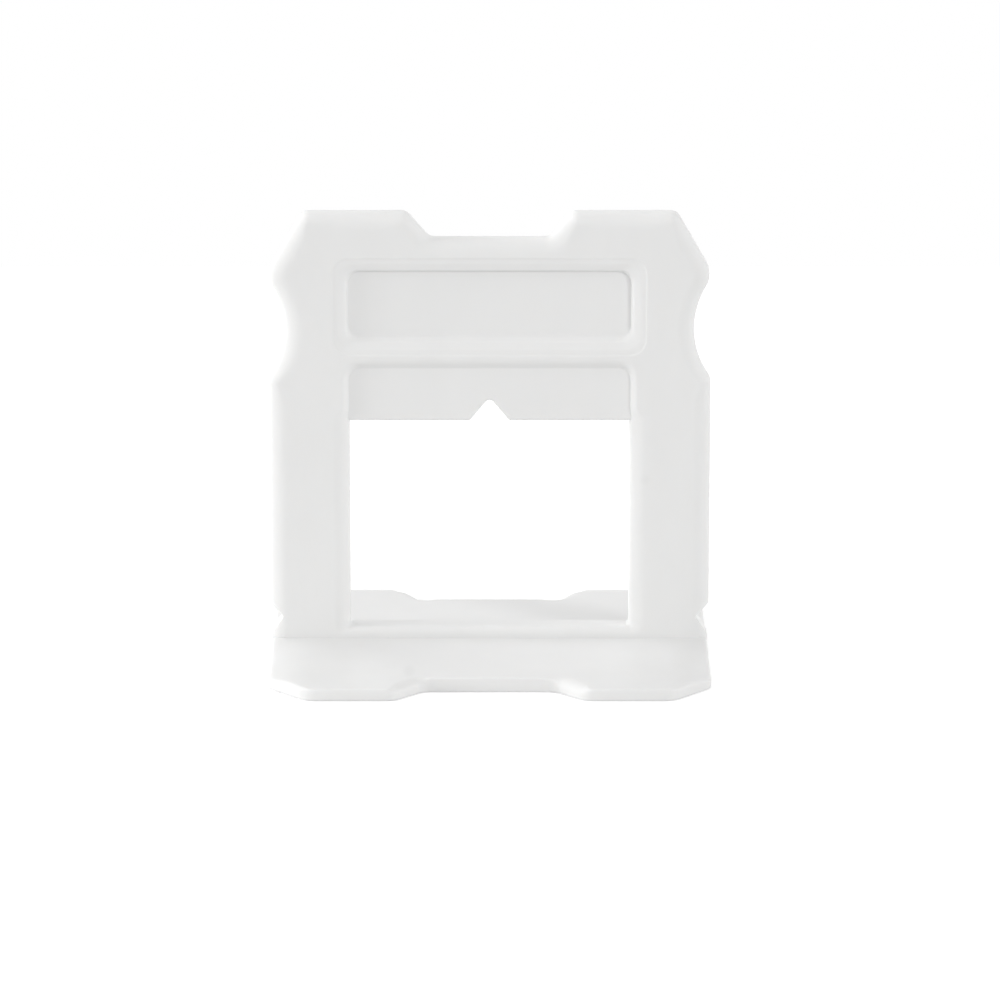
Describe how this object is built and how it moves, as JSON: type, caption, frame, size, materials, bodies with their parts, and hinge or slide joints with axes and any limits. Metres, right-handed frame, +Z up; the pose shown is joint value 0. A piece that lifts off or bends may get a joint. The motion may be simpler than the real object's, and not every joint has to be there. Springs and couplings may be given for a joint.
{
  "type": "tile levelling clip",
  "caption": "White moulded tile levelling clip: a thin scalloped foot, an upright joint plate with a wedge window and bare label recess, and notches where it snaps off.",
  "frame": {"origin": "bottom centre of the foot, on the bed that it stands on", "axes": "+X along the tile joint, +Y across the joint away from the pictured face, +Z up the plate"},
  "size_m": [0.03, 0.0254, 0.0306],
  "materials": {
    "plastic": "smooth, softly glossy white polypropylene"
  },
  "bodies": {
    "root": {"clip": "plastic"}
  },
  "joints": []
}
